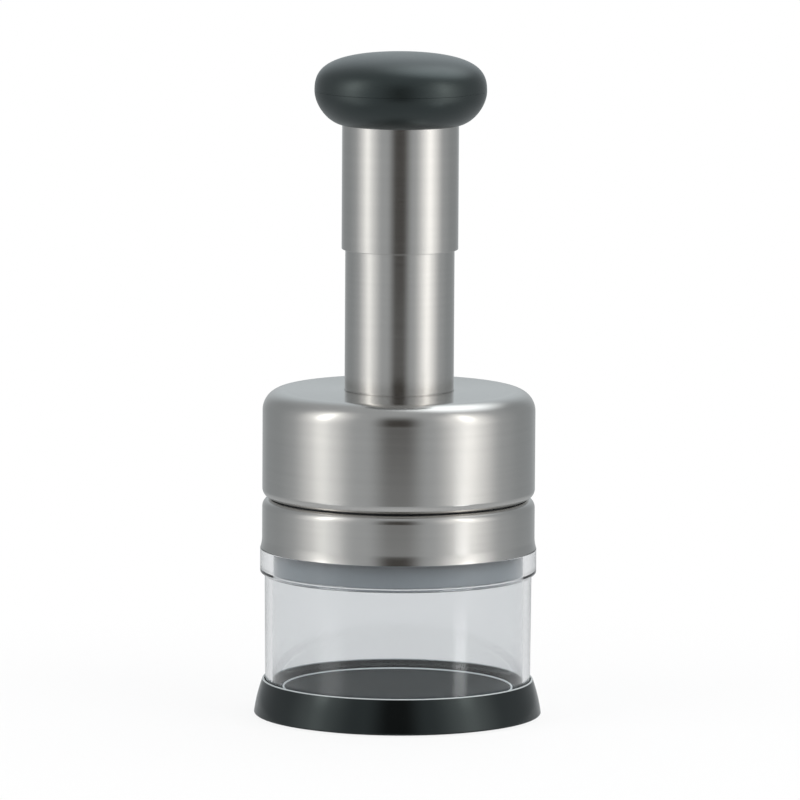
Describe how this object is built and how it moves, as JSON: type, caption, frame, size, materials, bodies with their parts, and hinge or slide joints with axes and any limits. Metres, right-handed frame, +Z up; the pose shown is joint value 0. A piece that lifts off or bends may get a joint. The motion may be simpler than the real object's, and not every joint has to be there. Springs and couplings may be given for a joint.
{
  "type": "garlic chopper",
  "caption": "Press-type garlic chopper: a knob and steel tube drive a zigzag blade through a scraper into a clear jar on a black base.",
  "frame": {"origin": "middle of the underside of the base, on the table", "axes": "+Z up along the plunger's axis; -Y towards the viewer of the picture"},
  "size_m": [0.094, 0.094, 0.2173],
  "materials": {
    "brushed_steel": "brushed",
    "bright_steel": "bright",
    "black_grip": "soft satin",
    "black_plastic": "satin",
    "black_board": "matte",
    "black_rubber": "matte",
    "clear_jar": "clear",
    "slate_plastic": "satin",
    "white_plastic": "satin",
    "brass": "turned"
  },
  "bodies": {
    "base": {"base_cup": "black_plastic", "chopping_board": "black_board", "foot_ring": "black_rubber"},
    "jar": {"jar": "clear_jar"},
    "collar": {"collar_band": "brushed_steel", "collar_liner": "slate_plastic", "scraper_retainer": "slate_plastic"},
    "housing": {"housing_shell": "brushed_steel", "guide_tube": "brushed_steel", "tube_flange": "bright_steel", "guide_bush": "white_plastic", "inner_frame": "slate_plastic", "frame_screws": "bright_steel", "ratchet_ring": "white_plastic", "drive_nut": "brass", "nut_spring": "bright_steel", "nut_cover": "slate_plastic", "cover_screws": "bright_steel", "spring_seat": "white_plastic", "return_spring": "bright_steel"},
    "scraper": {"scraper": "white_plastic"},
    "plunger": {"handle_tube": "brushed_steel", "knob_base": "black_grip", "knob_top": "black_grip", "knob_core": "white_plastic", "core_pins": "bright_steel", "thrust_washer": "brass", "upper_spring_seat": "white_plastic"},
    "rotor": {"blade": "bright_steel", "blade_hub": "white_plastic", "hub_washer": "bright_steel", "hub_screw": "bright_steel", "stop_washer": "black_rubber", "blade_rod": "bright_steel", "rod_clip": "bright_steel"}
  },
  "joints": [
    {"name": "jar_lift", "type": "slide", "parent": "base", "child": "jar", "axis": [0, 0, 1], "range_m": [0, 0.04]},
    {"name": "head_lift", "type": "slide", "parent": "jar", "child": "collar", "axis": [0, 0, 1], "range_m": [0, 0.1]},
    {"name": "head_twist", "type": "hinge", "parent": "collar", "child": "housing", "pos_m": [0, 0, 0.0785], "axis": [0, 0, 1], "range_deg": [0, 30]},
    {"name": "plunger_press", "type": "slide", "parent": "housing", "child": "plunger", "axis": [0, 0, -1], "range_m": [0, 0.0396], "stiffness_N_per_m": 400, "springref_m": -0.028, "deforming": ["return_spring"]},
    {"name": "rotor_turn", "type": "hinge", "parent": "plunger", "child": "rotor", "pos_m": [0, 0, 0.1], "axis": [0, 0, 1], "range_deg": [0, 40]},
    {"name": "scraper_turn", "type": "hinge", "parent": "housing", "child": "scraper", "pos_m": [0, 0, 0.05], "axis": [0, 0, 1], "range_deg": [0, 40]}
  ],
  "couplings": [
    {"joint": "rotor_turn", "follows": "plunger_press", "rad_per_m": 17.63},
    {"joint": "scraper_turn", "follows": "plunger_press", "rad_per_m": 17.63}
  ]
}
